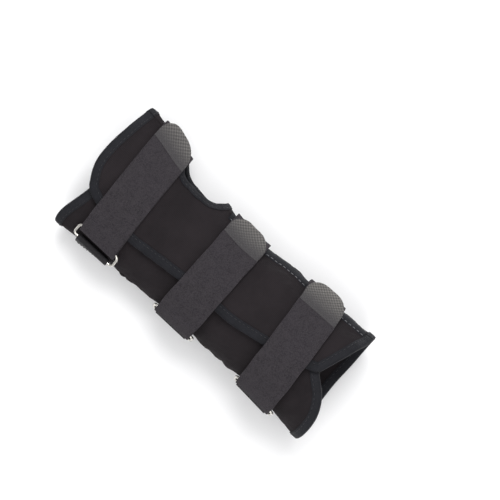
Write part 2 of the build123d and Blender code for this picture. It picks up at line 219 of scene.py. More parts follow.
# ---------------------------------------------------------------- meshes
def add_object(name, vertices, faces, uvs, material, crease=40):
    mesh = bpy.data.meshes.new(name)
    mesh.from_pydata([tuple(v) for v in vertices], [], faces)
    mesh.update()
    layer = mesh.uv_layers.new(name="UVMap")
    corner_uv = np.asarray(uvs, float)[np.array([loop.vertex_index for loop in mesh.loops])]
    layer.data.foreach_set("uv", corner_uv.astype(np.float32).ravel())
    mesh.polygons.foreach_set("use_smooth", [True] * len(mesh.polygons))
    mesh.set_sharp_from_angle(angle=math.radians(crease))
    mesh.materials.append(material)
    piece = bpy.data.objects.new(name, mesh)
    bpy.context.scene.collection.objects.link(piece)
    return piece


def sheet_piece(name, outer, inner, uv, material, keep=None):
    """Closed sheet between two grids of points; keep leaves out faces, as for a hole."""
    nu, nv = outer.shape[:2]
    index = np.arange(nu * nv).reshape(nu, nv)
    quads = np.stack([index[:-1, :-1], index[1:, :-1], index[1:, 1:], index[:-1, 1:]], axis=-1)
    if keep is None:
        keep = np.ones(quads.shape[:2], bool)
    quads = quads[keep].tolist()
    offset = nu * nv
    border = {}
    for quad in quads:
        for a, b in zip(quad, quad[1:] + quad[:1]):
            if (b, a) in border:
                del border[(b, a)]
            else:
                border[(a, b)] = True
    faces = quads + [[v + offset for v in reversed(quad)] for quad in quads]
    faces += [[b, a, a + offset, b + offset] for a, b in border]
    vertices = np.concatenate([outer.reshape(-1, 3), inner.reshape(-1, 3)])
    uvs = np.concatenate([uv.reshape(-1, 2)] * 2)
    used = sorted({v for face in faces for v in face})
    renumber = {v: i for i, v in enumerate(used)}
    faces = [[renumber[v] for v in face] for face in faces]
    return add_object(name, vertices[used], faces, uvs[used], material)


def rounded_section(width, thickness, across=12, corner=5):
    """Closed outline (across, height) of a flat strap with rounded edges."""
    r = thickness / 2
    top = [(a, thickness) for a in np.linspace(-(width / 2 - r), width / 2 - r, across)]
    right = [
        (width / 2 - r + r * math.sin(t), r + r * math.cos(t))
        for t in np.linspace(0, math.pi, corner + 2)[1:-1]
    ]
    bottom = [(a, 0.0) for a in np.linspace(width / 2 - r, -(width / 2 - r), across)]
    left = [
        (-(width / 2 - r) - r * math.sin(t), r - r * math.cos(t))
        for t in np.linspace(0, math.pi, corner + 2)[1:-1]
    ]
    return np.array(top + right + bottom + left)


def ring_mesh(name, rings, uvs, material, closed=False, crease=60):
    """Sweep of closed outlines: rings is (count, points, 3)."""
    count, points = rings.shape[:2]
    index = np.arange(count * points).reshape(count, points)
    faces = []
    for i in range(count if closed else count - 1):
        j = (i + 1) % count
        for k in range(points):
            n = (k + 1) % points
            faces.append([int(index[i, k]), int(index[i, n]), int(index[j, n]), int(index[j, k])])
    if not closed:
        faces.append([int(v) for v in reversed(index[0])])
        faces.append([int(v) for v in index[-1]])
    return add_object(name, rings.reshape(-1, 3), faces, uvs.reshape(-1, 2), material, crease)


def outward_faces(piece):
    """Turns the faces of a closed piece outwards."""
    work = bmesh.new()
    work.from_mesh(piece.data)
    bmesh.ops.recalc_face_normals(work, faces=work.faces)
    work.to_mesh(piece.data)
    work.free()
    return piece


def path_length(points):
    steps = np.linalg.norm(np.diff(points, axis=0), axis=-1)
    return np.concatenate([[0], np.cumsum(steps)]) / MM


def resample(points, step):
    """Points about step mm apart along a line in metres."""
    along = path_length(points)
    at = np.arange(0, along[-1], step)
    return np.stack([np.interp(at, along, points[:, k]) for k in range(points.shape[1])], axis=-1), at


# ---------------------------------------------------------------- materials
def new_material(name, colour, roughness, metallic=0.0):
    material = bpy.data.materials.new(name)
    material.use_nodes = True
    tree = material.node_tree
    shader = tree.nodes["Principled BSDF"]
    shader.inputs["Base Color"].default_value = (*colour, 1)
    shader.inputs["Roughness"].default_value = roughness
    shader.inputs["Metallic"].default_value = metallic
    return material, tree, shader


def node(tree, kind, links=None, **values):
    made = tree.nodes.new(kind)
    for key, value in values.items():
        setattr(made, key, value)
    for socket, source in (links or {}).items():
        if isinstance(source, (int, float, tuple)):
            made.inputs[socket].default_value = source
        else:
            tree.links.new(source, made.inputs[socket])
    return made


def math_node(tree, operation, a, b=0.0):
    return node(tree, "ShaderNodeMath", {0: a, 1: b}, operation=operation).outputs[0]


def weighted(tree, a, a_share, b, b_share):
    """Sum of two values, each times its share."""
    return math_node(
        tree, "ADD", math_node(tree, "MULTIPLY", a, a_share), math_node(tree, "MULTIPLY", b, b_share)
    )


def mix_colour(tree, factor, a, b, blend="MIX"):
    made = node(tree, "ShaderNodeMix", data_type="RGBA", blend_type=blend)
    for socket, source in ((0, factor), (6, a), (7, b)):
        if isinstance(source, (int, float)):
            made.inputs[socket].default_value = source
        elif isinstance(source, tuple):
            made.inputs[socket].default_value = (*source, 1)
        else:
            tree.links.new(source, made.inputs[socket])
    return made.outputs[2]


def uv_axes(tree):
    """The two texture axes of a piece, in mm."""
    uv = tree.nodes.new("ShaderNodeTexCoord").outputs["UV"]
    split = node(tree, "ShaderNodeSeparateXYZ", {0: uv})
    return uv, split.outputs[0], split.outputs[1]


def wave_of(tree, value, period, phase=0.0):
    """0 to 1 sine of a texture axis."""
    turned = math_node(tree, "ADD", math_node(tree, "MULTIPLY", value, 2 * math.pi / period), phase)
    return math_node(tree, "ADD", math_node(tree, "MULTIPLY", math_node(tree, "SINE", turned), 0.5), 0.5)


def noise_of(tree, vector, scale, detail=3.0, roughness=0.55):
    made = node(
        tree, "ShaderNodeTexNoise",
        {"Vector": vector, "Scale": scale, "Detail": detail, "Roughness": roughness},
    )
    return made.outputs["Fac"]


def remap(tree, value, low, high, to_low, to_high):
    made = node(tree, "ShaderNodeMapRange", {0: value, 1: low, 2: high, 3: to_low, 4: to_high})
    return made.outputs[0]


def add_bump(tree, shader, height, distance, strength=1.0):
    bump = node(tree, "ShaderNodeBump", {"Height": height, "Distance": distance, "Strength": strength})
    tree.links.new(bump.outputs[0], shader.inputs["Normal"])


def set_sheen(shader, weight, roughness, tint):
    shader.inputs["Sheen Weight"].default_value = weight
    shader.inputs["Sheen Roughness"].default_value = roughness
    shader.inputs["Sheen Tint"].default_value = (*tint, 1)


def knit_material():
    """Brushed knit face of the laminated sleeve fabric, with random fuzz tone and painted highlight on the
    raised loops, painted shade in the hollows.
    """
    material, tree, shader = new_material("sleeve_knit", (0.012, 0.010, 0.011), 0.88)
    uv, u, v = uv_axes(tree)
    wales = wave_of(tree, u, 0.95)
    courses = wave_of(tree, v, 0.8)
    knit = math_node(tree, "MULTIPLY", wales, courses)
    fuzz = noise_of(tree, uv, 1.7, 4.0, 0.7)
    broad = noise_of(tree, uv, 0.05, 3.0)
    height = weighted(tree, knit, 0.6, fuzz, 0.9)
    dark, light = (0.0085, 0.0068, 0.0078), (0.0135, 0.0108, 0.0122)
    shade = mix_colour(tree, remap(tree, broad, 0.35, 0.65, 0, 1), dark, light)
    # painted highlight and shade: lighter where the knit and fuzz are raised, darker in the hollows; the fuzz
    # part is also random tone
    shade = mix_colour(tree, remap(tree, height, 0.35, 1.0, 0, 0.55), shade, (0.026, 0.022, 0.0245))
    tree.links.new(shade, shader.inputs["Base Color"])
    tree.links.new(remap(tree, fuzz, 0.3, 0.7, 0.80, 0.95), shader.inputs["Roughness"])
    set_sheen(shader, 0.02, 0.4, (0.75, 0.70, 0.74))
    shader.inputs["Specular IOR Level"].default_value = 0.12
    add_bump(tree, shader, height, 0.00022, 0.8)
    return material


def loop_material():
    """Loop pile of the straps: mottled, matte and a little furry, with painted highlight on the raised pile
    and painted shade between the loops.
    """
    material, tree, shader = new_material("loop_pile", (0.048, 0.041, 0.048), 0.93)
    uv = uv_axes(tree)[0]
    voronoi = node(tree, "ShaderNodeTexVoronoi", {"Vector": uv, "Scale": 1.35, "Randomness": 1.0})
    cells = voronoi.outputs["Distance"]
    fuzz = noise_of(tree, uv, 2.2, 5.0, 0.75)
    patches = noise_of(tree, uv, 0.16, 3.0, 0.6)
    broad = noise_of(tree, uv, 0.035, 2.0)
    height = weighted(tree, fuzz, 1.0, cells, -0.7)
    dark, light = (0.0205, 0.0180, 0.0210), (0.0290, 0.0255, 0.0290)
    shade = mix_colour(tree, remap(tree, patches, 0.35, 0.65, 0, 1), dark, light)
    shade = mix_colour(tree, remap(tree, broad, 0.35, 0.65, 0, 0.5), shade, (0.0250, 0.0215, 0.0265))
    # painted highlight on the raised pile and painted shade in the hollows, following the bump height
    shade = mix_colour(tree, remap(tree, height, -0.1, 0.75, 0, 0.75), shade, (0.0600, 0.0550, 0.0600))
    tree.links.new(shade, shader.inputs["Base Color"])
    tree.links.new(remap(tree, fuzz, 0.3, 0.7, 0.86, 0.98), shader.inputs["Roughness"])
    set_sheen(shader, 0.06, 0.5, (0.80, 0.74, 0.80))
    shader.inputs["Specular IOR Level"].default_value = 0.08
    add_bump(tree, shader, height, 0.0005, 0.9)
    return material


def hook_material():
    """Woven back of the hook tape: an even grid of small raised dots, with painted highlight on the dots,
    painted shade between them and painted shade towards the tab's root.
    """
    material, tree, shader = new_material("hook_tape_back", (0.14, 0.135, 0.13), 0.7)
    uv, u, v = uv_axes(tree)
    across = math_node(tree, "SINE", math_node(tree, "MULTIPLY", u, 2 * math.pi / 2.7))
    along = math_node(tree, "SINE", math_node(tree, "MULTIPLY", v, 2 * math.pi / 2.5))
    dots = remap(tree, math_node(tree, "MULTIPLY", across, along), -0.7, 0.7, 0, 1)
    weave = wave_of(tree, math_node(tree, "ADD", u, v), 0.42)
    fuzz = noise_of(tree, uv, 1.2, 4.0, 0.65)
    patches = noise_of(tree, uv, 0.11, 3.0)
    height = math_node(tree, "ADD", dots, math_node(tree, "MULTIPLY", weave, 0.25))
    # the dot grid is the tape's weave; its light dots are painted highlight and its dark gaps painted shade
    shade = mix_colour(tree, dots, (0.030, 0.028, 0.0275), (0.190, 0.180, 0.168))
    shade = mix_colour(tree, remap(tree, patches, 0.35, 0.65, 0, 0.4), shade, (0.060, 0.056, 0.055))
    shade = mix_colour(tree, remap(tree, fuzz, 0.45, 0.75, 0, 0.35), shade, (0.22, 0.21, 0.195))
    # painted shade: the tab fades to dark near its root and is left light at the flared end, where light
    # catches it
    root_shade_distance = math_node(tree, "ADD", v, math_node(tree, "MULTIPLY", fuzz, 7.0))
    shade = mix_colour(tree, remap(tree, root_shade_distance, 7, 25, 0.97, 0.0), shade, (0.030, 0.027, 0.030))
    tree.links.new(shade, shader.inputs["Base Color"])
    tree.links.new(remap(tree, fuzz, 0.3, 0.7, 0.6, 0.85), shader.inputs["Roughness"])
    set_sheen(shader, 0.05, 0.4, (0.8, 0.8, 0.8))
    add_bump(tree, shader, height, 0.00035, 0.9)
    return material


def twill_material(name, dark, light, period=0.9, sheen=0.02):
    """Twill tape or webbing with diagonal ribs, with painted highlight on the ribs and painted shade in the
    grooves between them.
    """
    material, tree, shader = new_material(name, dark, 0.7)
    uv, u, v = uv_axes(tree)
    ribs = wave_of(tree, math_node(tree, "ADD", u, math_node(tree, "MULTIPLY", v, 0.8)), period)
    yarn = wave_of(tree, v, period * 0.55)
    fuzz = noise_of(tree, uv, 1.5, 4.0, 0.65)
    broad = noise_of(tree, uv, 0.12, 3.0)
    fine = math_node(tree, "ADD", yarn, fuzz)
    height = math_node(tree, "ADD", ribs, math_node(tree, "MULTIPLY", fine, 0.4))
    # painted highlight and shade: ribs lighter, grooves darker, following the bump height
    shade = mix_colour(tree, remap(tree, height, 0.3, 1.5, 0, 1), dark, light)
    shade = mix_colour(tree, remap(tree, broad, 0.35, 0.7, 0, 0.4), shade, tuple(c * 1.5 for c in light))
    tree.links.new(shade, shader.inputs["Base Color"])
    tree.links.new(remap(tree, fuzz, 0.3, 0.7, 0.55, 0.8), shader.inputs["Roughness"])
    set_sheen(shader, sheen, 0.4, (0.75, 0.77, 0.85))
    shader.inputs["Specular IOR Level"].default_value = 0.2
    add_bump(tree, shader, height, 0.00018, 0.8)
    return material


def thread_material(name, colour):
    """Twisted sewing thread, with painted highlight on the plies and painted shade in the twist's grooves."""
    material, tree, shader = new_material(name, colour, 0.55)
    u, v = uv_axes(tree)[1:]
    twist = wave_of(tree, math_node(tree, "ADD", math_node(tree, "MULTIPLY", u, 2.0), v), 0.5)
    # painted highlight and shade along the twist
    shade = mix_colour(tree, twist, tuple(c * 0.6 for c in colour), tuple(min(c * 1.5, 1) for c in colour))
    tree.links.new(shade, shader.inputs["Base Color"])
    set_sheen(shader, 0.03, 0.4, (0.8, 0.8, 0.85))
    add_bump(tree, shader, twist, 0.00006, 0.7)
    return material


def metal_material(name, colour, roughness, brushed):
    """Nickel wire or brushed aluminium, with fine scratches and duller patches."""
    material, tree, shader = new_material(name, colour, roughness, 1.0)
    place = tree.nodes.new("ShaderNodeTexCoord").outputs["Object"]
    scale = (30, 2500, 2500) if brushed else (400, 900, 900)
    stretched = node(tree, "ShaderNodeMapping", {"Vector": place, "Scale": scale}).outputs[0]
    scratches = noise_of(tree, stretched, 1.0, 4.0, 0.6)
    patches = noise_of(tree, place, 220.0, 3.0)
    tree.links.new(
        remap(tree, math_node(tree, "ADD", scratches, patches), 0.7, 1.3, roughness * 0.7, roughness * 1.5),
        shader.inputs["Roughness"],
    )
    shade = mix_colour(tree, remap(tree, patches, 0.4, 0.7, 0, 0.5), colour, tuple(c * 0.72 for c in colour))
    tree.links.new(shade, shader.inputs["Base Color"])
    add_bump(tree, shader, scratches, 0.00003, 0.5)
    return material


KNIT = knit_material()
LOOP = loop_material()
HOOK = hook_material()
TAPE = twill_material("binding_twill", (0.0038, 0.0040, 0.0058), (0.0085, 0.0088, 0.0120))
WEBBING = twill_material("keeper_webbing", (0.0055, 0.0052, 0.0060), (0.0140, 0.0132, 0.0150), 1.3, 0.02)
THREAD = thread_material("black_thread", (0.009, 0.009, 0.0115))
LIGHT_THREAD = thread_material("grey_thread", (0.16, 0.16, 0.17))
NICKEL = metal_material("nickel_wire", (0.66, 0.64, 0.60), 0.2, False)
ALUMINIUM = metal_material("brushed_aluminium", (0.52, 0.52, 0.535), 0.36, True)


# ---------------------------------------------------------------- stitches
def stitches(name, line, normals, body, material=THREAD, length=2.3, gap=0.9, radius=0.24, sink=0.05):
    """A row of short raised stitches along a line of points."""
    along = path_length(line)
    pitch = length + gap
    vertices, faces, uvs = [], [], []
    for i in range(int(along[-1] // pitch)):
        ends = [gap / 2 + i * pitch, gap / 2 + i * pitch + length]
        spots = np.linspace(*ends, 5)
        centres = np.stack([np.interp(spots, along, line[:, k]) for k in range(3)], axis=-1)
        ups = np.stack([np.interp(spots, along, normals[:, k]) for k in range(3)], axis=-1)
        ups /= np.linalg.norm(ups, axis=-1, keepdims=True)
        forward = centres[-1] - centres[0]
        forward /= np.linalg.norm(forward)
        side = np.cross(forward, ups)
        start = len(vertices)
        for j, (centre, up, right) in enumerate(zip(centres, ups, side)):
            swell = (0.45, 0.95, 1.0, 0.95, 0.45)[j] * radius * MM
            lift = (-0.2, 0.08, 0.14, 0.08, -0.2)[j] - sink
            for k in range(6):
                t = k * math.pi / 3
                out = up * (lift * MM + swell * math.cos(t))
                vertices.append(centre + out + right * swell * math.sin(t))
                uvs.append((spots[j], k * 0.2))
        for j in range(4):
            for k in range(6):
                a, b = start + j * 6 + k, start + j * 6 + (k + 1) % 6
                faces.append([a, b, b + 6, a + 6])
        faces.append([start + k for k in reversed(range(6))])
        faces.append([start + 24 + k for k in range(6)])
    piece = add_object(name, np.array(vertices), faces, np.array(uvs), material, 80)
    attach(piece, body)
    return piece


def line_on(x, angle, height):
    """A line on the sleeve and its outward normals."""
    line = skin(x, angle, height)
    normals = skin(x, angle, np.asarray(height) + 1) - line
    return line, normals / np.linalg.norm(normals, axis=-1, keepdims=True)


# ---------------------------------------------------------------- thumb opening
def thumb_outline(grow, count=150):
    """The opening's outline in x and z."""
    width, height = THUMB_X[1] - THUMB_X[0], THUMB_Z[1] - THUMB_Z[0]
    r = THUMB_CORNER
    centre_x, centre_z = (THUMB_X[0] + THUMB_X[1]) / 2, (THUMB_Z[0] + THUMB_Z[1]) / 2
    corners = []
    for quarter, (sx, sz) in enumerate(((1, 1), (-1, 1), (-1, -1), (1, -1))):
        for t in np.linspace(0, math.pi / 2, 14):
            turn = quarter * math.pi / 2 + t
            corners.append((
                centre_x + sx * (width / 2 - r) + (r + grow) * math.cos(turn),
                centre_z + sz * (height / 2 - r) + (r + grow) * math.sin(turn),
            ))
    corners.append(corners[0])
    points = np.array(corners)
    along = np.concatenate([[0], np.cumsum(np.linalg.norm(np.diff(points, axis=0), axis=1))])
    at = np.linspace(0, along[-1], count + 1)[:-1]
    return np.interp(at, along, points[:, 0]), np.interp(at, along, points[:, 1])


def radial_angle(x, z):
    """Angle of a point on the radial side of the sleeve at height z."""
    upper, lower = curve(STATIONS, x, 3), curve(STATIONS, x, 4)
    middle = INNER_FLOOR + lower
    angle = np.full(np.shape(x), SEAM_ANGLE)
    for _ in range(8):
        height = THUMB_LEVEL + flap_rise(angle)
        above = 180 - np.degrees(np.arcsin(np.clip((z - middle) / (upper + height), -1, 1)))
        turn = np.degrees(np.arcsin(np.clip((middle - z) / (lower + height), -1, 1)))
        below = 180 + turn / 90 * CORNER_SPAN
        angle = np.where(z >= middle, above, below)
    return angle


def in_thumb_opening(x, angle, grow):
    """True where a point is in the opening, made larger by grow."""
    points = skin(x, angle, THUMB_LEVEL + flap_rise(angle))
    z = points[..., 2] / MM
    centre_x, centre_z = (THUMB_X[0] + THUMB_X[1]) / 2, (THUMB_Z[0] + THUMB_Z[1]) / 2
    dx = np.maximum(np.abs(x - centre_x) - ((THUMB_X[1] - THUMB_X[0]) / 2 - THUMB_CORNER), 0)
    dz = np.maximum(np.abs(z - centre_z) - ((THUMB_Z[1] - THUMB_Z[0]) / 2 - THUMB_CORNER), 0)
    return (np.hypot(dx, dz) < THUMB_CORNER + grow) & (points[..., 1] < THUMB_SIDE * MM)


def clear_of_thumb(x, angle):
    """The faces of a grid that stay: none in the opening, or so near it that the binding covers them."""
    middle_x, middle_angle = (x[1:, 1:] + x[:-1, :-1]) / 2, (angle[1:, 1:] + angle[:-1, :-1]) / 2
    return ~in_thumb_opening(middle_x, middle_angle, THUMB_COVERED)


# ---------------------------------------------------------------- sleeve fabric
def make_panel():
    angles = np.linspace(SEAM_ANGLE + 0.4, HIDDEN_ANGLE, 250)[None, :]
    share = np.linspace(0, 1, 190)[:, None]
    low, high = curve(PANEL_ELBOW_EDGE, angles) + TAPE_END, curve(PANEL_FINGER_EDGE, angles) - TAPE_END
    x = low + share * (high - low)
    angle = np.broadcast_to(angles, x.shape)
    bump = relief(x, angle) * (1 - ease(angle, 430, 445))
    outer, inner = skin(x, angle, PANEL_T + bump), skin(x, angle, bump * 0.8)
    uv = np.stack([x, angle * MM_PER_DEGREE], axis=-1)
    keep = clear_of_thumb(x, angle)
    piece = sheet_piece("sleeve_panel", outer, inner, uv, KNIT, keep)
    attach(piece, "sleeve")
    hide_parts("main_panel")


def make_flap():
    v = np.linspace(0, 0.985, 100)[None, :]
    share = np.linspace(0, 1, 190)[:, None]
    low, high = curve(FLAP_ELBOW_EDGE, v) + TAPE_END, curve(FLAP_FINGER_EDGE, v) - TAPE_END
    x = low + share * (high - low)
    angle = SEAM_ANGLE + v * (free_edge_angle(x) - SEAM_ANGLE)
    bump = relief(x, angle)
    height = flap_height(angle) + bump
    outer, inner = skin(x, angle, height + FLAP_T), skin(x, angle, height)
    uv = np.stack([x, angle * MM_PER_DEGREE], axis=-1)
    keep = clear_of_thumb(x, angle)
    piece = sheet_piece("sleeve_flap", outer, inner, uv, KNIT, keep)
    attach(piece, "sleeve")
    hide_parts("dorsal_flap")
    return piece


def tape_piece(name, x, angle, side, low, high, base, closed=False, replaces=(), width=TAPE_WIDTH):
    """Binding tape folded over an edge; side is +1 or -1 for the way in to the fabric."""
    nose = TAPE_T + TAPE_FIT
    middle, reach = (low + high) / 2, (high - low) / 2 + nose
    profile = [(width, reach - 0.04), (width * 0.75, reach + 0.10), (width * 0.4, reach + 0.16)]
    profile += [
        (0.9 - 1.05 * math.cos(t), (reach + 0.08) * math.sin(t))
        for t in np.radians(np.linspace(68, -68, 9))
    ]
    profile += [(width * 0.4, -reach - 0.02), (width * 0.75, -reach), (width, -reach + 0.02)]
    inside = reach - TAPE_T
    profile += [(width, -inside), (1.3, -inside), (1.3, inside), (width, inside)]

    def step(values):
        if closed:
            return (np.roll(values, -1) - np.roll(values, 1)) / 2
        return np.gradient(values)

    scale = per_degree(x, angle)
    dx, da = step(x), step(angle) * scale
    size = np.hypot(dx, da)
    inward_x, inward_angle = -da / size * side, dx / size * side / scale
    rings = []
    for inset, lift in profile:
        px, pa = x + inward_x * inset, angle + inward_angle * inset
        rings.append(skin(px, pa, base(pa) + middle + lift + relief(px, pa)))
    rings = np.stack(rings, axis=1)
    along = path_length(rings[:, 2])
    uv = np.stack(np.broadcast_arrays(along[:, None], np.arange(len(profile))[None, :] * 1.1), axis=-1)
    piece = outward_faces(ring_mesh(name, rings, uv, TAPE, closed, 75))
    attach(piece, "sleeve")
    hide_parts(*replaces)
    for face, lift in (("out", reach + 0.11), ("in", -reach)):
        px, pa = x + inward_x * (width - 1.3), angle + inward_angle * (width - 1.3)
        if closed:
            px, pa = np.append(px, px[0]), np.append(pa, pa[0])
        line, normals = line_on(px, pa, base(pa) + middle + lift + relief(px, pa))
        if face == "in":
            normals = -normals
        row_name = f"{name}_stitches_{face}"
        row = stitches(row_name, line, normals, "sleeve", length=2.2, gap=1.0, radius=0.2)


def make_tapes():
    angle = np.linspace(SEAM_ANGLE + 0.6, HIDDEN_ANGLE, 300)

    def no_rise(a):
        return 0.0 * a

    tape_piece(
        "binding_finger_end", curve(PANEL_FINGER_EDGE, angle), angle, 1, 0, PANEL_T, no_rise,
        replaces=["binding_panel_finger_end"],
    )
    tape_piece(
        "binding_elbow_end", curve(PANEL_ELBOW_EDGE, angle), angle, -1, 0, PANEL_T, no_rise,
        replaces=["binding_panel_elbow_end"],
    )
    v = np.linspace(0, 1, 90)
    elbow_x = curve(FLAP_ELBOW_EDGE, v)
    elbow_angle = SEAM_ANGLE + v * (free_edge_angle(elbow_x) - SEAM_ANGLE)
    finger_x = curve(FLAP_FINGER_EDGE, v)
    finger_angle = SEAM_ANGLE + v * (free_edge_angle(finger_x) - SEAM_ANGLE)
    free_x = np.linspace(elbow_x[-1], finger_x[-1], 220)
    outline = [
        np.stack([elbow_x, elbow_angle], axis=-1),
        np.stack([free_x, free_edge_angle(free_x)], axis=-1)[1:-1],
        np.stack([finger_x, finger_angle], axis=-1)[::-1],
    ]
    line = np.concatenate(outline)
    scaled = np.stack([line[:, 0] * MM, line[:, 1] * 0.65 * MM, 0 * line[:, 0]], axis=-1)
    even, _ = resample(scaled, 0.8)
    soft = even.copy()
    for _ in range(14):
        soft[1:-1] = (soft[:-2] + 2 * soft[1:-1] + soft[2:]) / 4
    tape_piece(
        "binding_flap", soft[:, 0] / MM, soft[:, 1] / 0.65 / MM, 1, 0, FLAP_T, flap_height,
        replaces=["binding_flap_finger_end", "binding_flap_elbow_end", "binding_flap_free_edge"],
    )
    x, z = thumb_outline(0)
    tape_piece(
        "binding_thumb", x, radial_angle(x, z), 1, 0.1, PANEL_T - 0.1, flap_rise,
        closed=True, replaces=["binding_thumb_opening"], width=5.0,
    )


def make_seam():
    """Folded seam tape over the joint of flap and panel."""
    x = np.linspace(-96.5, 19.5, 150)
    across = np.linspace(-1, 1, 11)
    section = [(a * 4.3, 2.75 + 1.1 * math.sqrt(max(1 - a * a, 0)) ** 0.8) for a in across]
    section += [(a * 3.9, 2.45) for a in across[::-1][1:-1]]
    rings = []
    for offset, height in section:
        angle = SEAM_ANGLE + offset / per_degree(x, np.full(x.shape, SEAM_ANGLE))
        rings.append(skin(x, angle, height + 0.5 * relief(x, angle)))
    rings = np.stack(rings, axis=1)
    uv = np.stack(np.broadcast_arrays(x[:, None], np.arange(len(section))[None, :] * 0.8), axis=-1)
    piece = outward_faces(ring_mesh("seam_tape", rings, uv, TAPE, False, 80))
    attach(piece, "sleeve")
    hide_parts("radial_seam_tape")
    for letter, side, material in (("a", -1, LIGHT_THREAD), ("b", 1, THREAD)):
        angle = SEAM_ANGLE + side * 3.6 / per_degree(x, np.full(x.shape, SEAM_ANGLE))
        line, normals = line_on(x, angle, 3.3 + 0.5 * relief(x, angle))
        row = stitches(f"seam_stitches_{letter}", line, normals, "sleeve", material, 2.6, 0.7, 0.2)


# ---------------------------------------------------------------- straps
def strap_x(spec, across, angle):
    share = np.where(angle >= 180, 1.0, (1 - np.cos(np.radians(angle))) / 2)
    return spec.ring_x + share * (spec.radial_x - spec.ring_x) + across


def base_height(spec, angle):
    """Height of the sewn layer's underside: up on the flap, over the seam, down on the panel."""
    radial, sewn = spec.radial_height, spec.sewn_height
    rise = ON_PANEL + (OVER_FLAP - ON_PANEL) * ease(angle, spec.ring_angle + 3, spec.flap_angle - 2)
    side = OVER_FLAP + (radial - OVER_FLAP) * ease(angle, *OFF_FLAP)
    end = radial + (sewn - radial) * ease(angle, *OFF_SEAM)
    return np.select([angle < LEVEL_ON_FLAP, angle < LEVEL_ON_SEAM], [rise, side], end)


def return_height(spec, angle):
    """Height of the return layer's underside."""
    on_base = base_height(spec, angle) + STRAP_T + LAYER_GAP
    return np.where(angle < LEVEL_ON_FLAP, RETURN_LEVEL, on_base)


def ring_frame(spec):
    """Inner bar, outer bar, direction along the arm and outward direction at the inner bar, in metres."""
    x, inner_angle = spec.ring_x, spec.ring_angle
    inner = skin(x, inner_angle, RING_LEVEL)
    steps = np.arange(inner_angle, inner_angle - 40, -0.05)
    far = np.linalg.norm(skin(x, steps, RING_LEVEL) - inner, axis=-1)
    outer_angle = steps[np.argmax(far >= RING_SPAN * MM)]
    outer = skin(x, outer_angle, RING_LEVEL)
    across = (outer - inner) / np.linalg.norm(outer - inner)
    along = skin(x + 10, inner_angle, RING_LEVEL) - skin(x - 10, inner_angle, RING_LEVEL)
    along = along - across * (along @ across)
    along /= np.linalg.norm(along)
    up = np.cross(skin(x, inner_angle + 0.5, RING_LEVEL) - skin(x, inner_angle - 0.5, RING_LEVEL), along)
    up = up - along * (up @ along)
    return inner, outer, along, up / np.linalg.norm(up), outer_angle


def ripple(spec, across, angle, seed):
    """Small waves of the strap, stronger at its edges."""
    edge = 0.35 + 0.65 * (np.abs(across) / (STRAP_W / 2)) ** 2
    creases = waves(angle * MM_PER_DEGREE, across * 0.9, seed + 2, 7, direction=0.5)
    broad = waves(angle * MM_PER_DEGREE, across * 0.5, seed, 14)
    return spec.ripple * broad * edge + spec.ripple * 0.35 * creases


def wavy_edge(angle, seed):
    """How far a strap's edge wanders sideways, in mm."""
    return 0.22 * waves(angle * MM_PER_DEGREE, 0 * angle, seed, 22)


def grid_uv(across, run):
    """Texture axes across and along a swept piece, in mm."""
    return np.stack(np.broadcast_arrays(across, run[:, None]), axis=-1)


def make_sewn_layer(name, seed):
    """The layer sewn to the sleeve and its fold round the ring."""
    spec = STRAPS[name]
    inner, outer, along, up, _ = ring_frame(spec)
    toward = (outer - inner) / np.linalg.norm(outer - inner)
    toward = toward - up * (toward @ up)
    toward /= np.linalg.norm(toward)
    across, lift = rounded_section(STRAP_W, STRAP_T, 17).T
    angles = np.linspace(SEWN_ANGLE, spec.ring_angle + 1.0, 150)
    rings = [
        skin(
            strap_x(spec, across, a) + wavy_edge(np.full(across.shape, a), seed) * np.sign(across),
            np.full(across.shape, a),
            base_height(spec, a) + lift,
        )
        for a in angles
    ]
    for turn in np.radians(np.linspace(178, 0, 22)):
        direction = up * math.cos(turn) + toward * math.sin(turn)
        flip = FOLD_INSIDE * MM + (STRAP_T - lift) * MM
        centre = inner + np.outer(across * MM, along)
        rings.append(centre + np.outer(flip, direction))
    rings = np.array(rings)
    run = path_length(rings[:, len(across) // 8])
    uv = grid_uv(across, run)
    base = outward_faces(ring_mesh(f"{name}_sewn_layer", rings, uv, LOOP, False, 80))
    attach(base, "sleeve")
    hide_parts(f"{name}_base")


def make_return_layer(name, seed):
    """The layer that comes back from the ring; ripples lift its upper face only."""
    spec = STRAPS[name]
    inner, _, along, up, _ = ring_frame(spec)
    across, lift = rounded_section(STRAP_W, STRAP_T, 17).T
    angles = np.linspace(spec.ring_angle, spec.tab_root + 0.3, 110)
    rings = []
    for a in angles:
        near = ease(a, spec.ring_angle, spec.ring_angle + 14)
        fade = 1 - ease(a, spec.tab_root - 6, spec.tab_root)
        bump = ripple(spec, across, np.full(across.shape, a), seed + 3) * near * fade
        on_skin = skin(
            strap_x(spec, across, a) + wavy_edge(np.full(across.shape, a), seed + 5) * np.sign(across) * near,
            np.full(across.shape, a),
            return_height(spec, a) + lift + bump * lift / STRAP_T,
        )
        hinge = inner + np.outer(across * MM, along) + np.outer((FOLD_INSIDE + lift) * MM, up)
        weight = ease(a, spec.ring_angle, spec.ring_angle + 7)
        start_x = strap_x(spec, across, spec.ring_angle)
        start_skin = skin(start_x, np.full(across.shape, spec.ring_angle), RETURN_LEVEL + lift)
        rings.append(on_skin + (hinge - start_skin) * (1 - weight))
    rings = np.array(rings)
    run = path_length(rings[:, 8])
    uv = grid_uv(across, run + 300)
    back = outward_faces(ring_mesh(f"{name}_return_layer", rings, uv, LOOP, False, 80))
    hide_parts(f"{name}_return")
    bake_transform(back)


